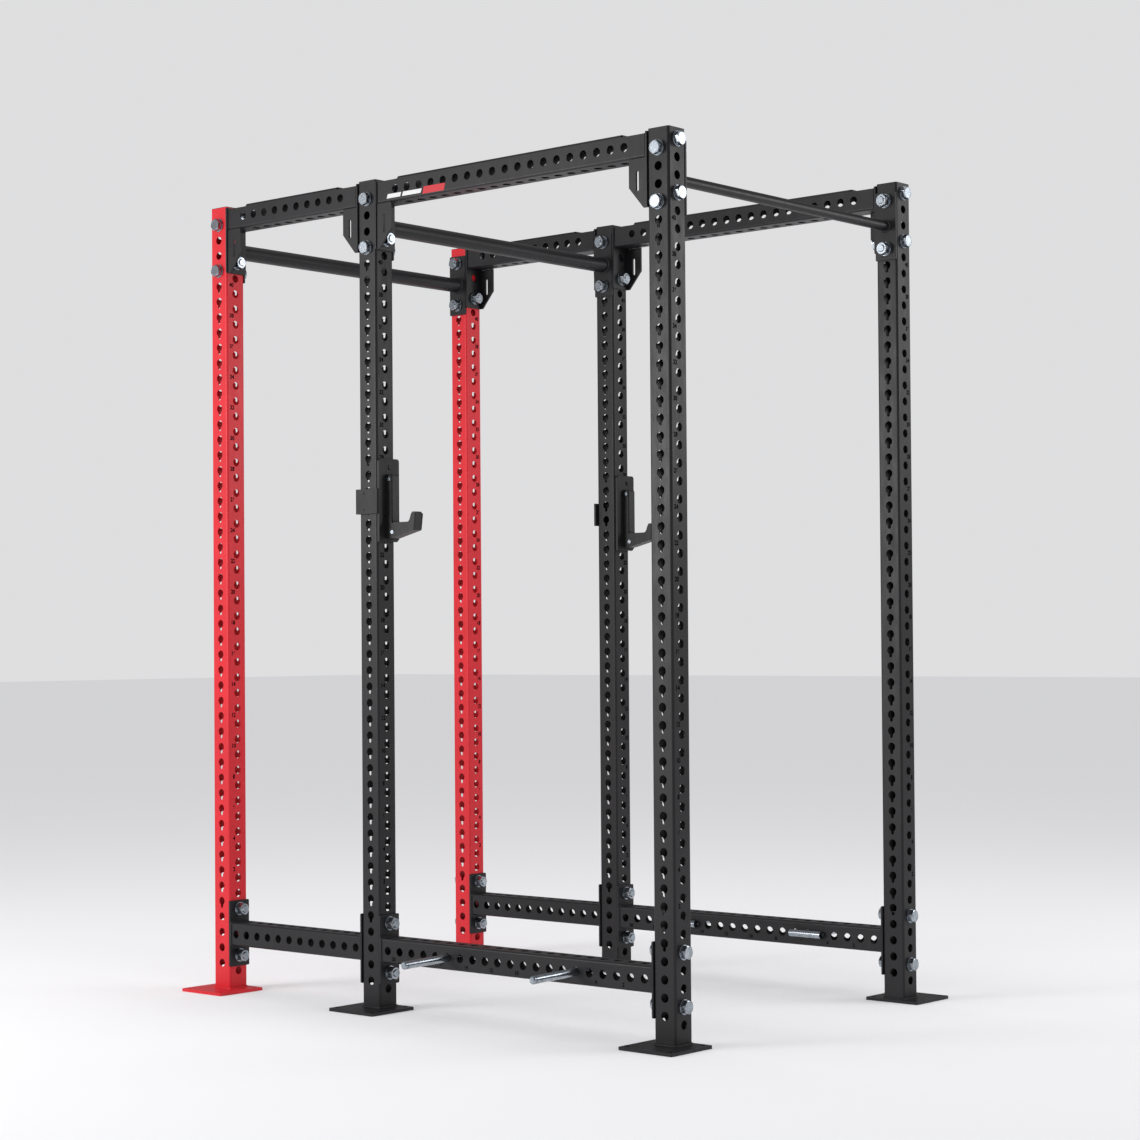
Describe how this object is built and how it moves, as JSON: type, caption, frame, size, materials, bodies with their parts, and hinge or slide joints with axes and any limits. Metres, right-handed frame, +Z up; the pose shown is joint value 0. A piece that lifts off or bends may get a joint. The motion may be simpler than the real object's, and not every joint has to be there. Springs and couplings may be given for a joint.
{
  "type": "power cage",
  "caption": "Tall steel power cage with punched square uprights, bolted side beams, pull-up bars, bar hooks, band pegs and flat feet.",
  "frame": {"origin": "on the floor, midway between the sides and midway between the front and back edges of the feet", "axes": "+X to the right seen from the front, +Y to the back, +Z up"},
  "size_m": [1.6206, 2.0478, 2.5891],
  "materials": {
    "frame_black": "fine-textured charcoal black powder coat",
    "rear_red": "bright red powder coat",
    "zinc": "bright zinc plating",
    "hook_black": "black powder coat",
    "liner_plastic": "black wear plastic",
    "cap_plastic": "black moulded plastic"
  },
  "bodies": {
    "cage": {"upright_front_left": "frame_black", "upright_front_right": "frame_black", "upright_middle_left": "frame_black", "upright_middle_right": "frame_black", "upright_rear_left": "rear_red", "upright_rear_right": "rear_red", "foot_front_left": "frame_black", "foot_front_right": "frame_black", "foot_middle_left": "frame_black", "foot_middle_right": "frame_black", "foot_rear_left": "rear_red", "foot_rear_right": "rear_red", "upright_caps": "cap_plastic", "bottom_beam_front_left": "frame_black", "bottom_beam_front_right": "frame_black", "bottom_beam_rear_left": "frame_black", "bottom_beam_rear_right": "frame_black", "top_beam_front_left": "frame_black", "top_beam_front_right": "frame_black", "top_beam_rear_left": "frame_black", "top_beam_rear_right": "frame_black", "bottom_flanges_left": "frame_black", "bottom_flanges_right": "frame_black", "top_flanges_left": "frame_black", "top_flanges_right": "frame_black", "top_gussets_left": "frame_black", "top_gussets_right": "frame_black", "pull_up_plates_front": "frame_black", "pull_up_bar_front": "frame_black", "pull_up_plates_middle": "frame_black", "pull_up_bar_middle": "frame_black", "pull_up_plates_rear": "frame_black", "pull_up_bar_rear": "frame_black", "end_bolts": "zinc", "middle_bolts": "zinc", "cross_bolts": "zinc", "nuts": "zinc", "washers": "zinc"},
    "hook_left": {"hook_plate_left": "hook_black", "hook_ear_left": "hook_black", "hook_cheeks_left": "hook_black", "hook_liner_left": "liner_plastic", "hook_screws_left": "zinc"},
    "hook_pin_left": {"hook_pin_left": "zinc"},
    "hook_right": {"hook_plate_right": "hook_black", "hook_ear_right": "hook_black", "hook_cheeks_right": "hook_black", "hook_liner_right": "liner_plastic", "hook_screws_right": "zinc"},
    "hook_pin_right": {"hook_pin_right": "zinc"},
    "peg_front_left": {"band_peg_front_left": "zinc"},
    "peg_back_left": {"band_peg_back_left": "zinc"},
    "peg_front_right": {"band_peg_front_right": "zinc"},
    "peg_back_right": {"band_peg_back_right": "zinc"}
  },
  "joints": [
    {"name": "peg_front_left_pull", "type": "slide", "parent": "cage", "child": "peg_front_left", "axis": [0.9997, 0, 0.0227], "range_m": [0, 0.29]},
    {"name": "peg_back_left_pull", "type": "slide", "parent": "cage", "child": "peg_back_left", "axis": [0.9997, 0, 0.0227], "range_m": [0, 0.29]},
    {"name": "peg_front_right_pull", "type": "slide", "parent": "cage", "child": "peg_front_right", "axis": [-0.9997, 0, 0.0227], "range_m": [0, 0.29]},
    {"name": "peg_back_right_pull", "type": "slide", "parent": "cage", "child": "peg_back_right", "axis": [-0.9997, 0, 0.0227], "range_m": [0, 0.29]},
    {"name": "hook_left_pull", "type": "slide", "parent": "cage", "child": "hook_pin_left", "axis": [0, -1, 0], "range_m": [0, 0.0044]},
    {"name": "hook_left_turn", "type": "hinge", "parent": "hook_pin_left", "child": "hook_left", "pos_m": [-0.58103, 0.19526, 1.69227], "axis": [0, 1, 0], "range_deg": [0, 90]},
    {"name": "hook_right_pull", "type": "slide", "parent": "cage", "child": "hook_pin_right", "axis": [0, -1, 0], "range_m": [-0.0044, 0]},
    {"name": "hook_right_turn", "type": "hinge", "parent": "hook_pin_right", "child": "hook_right", "pos_m": [0.58103, 0.19086, 1.69227], "axis": [0, -1, 0], "range_deg": [0, 90]}
  ]
}
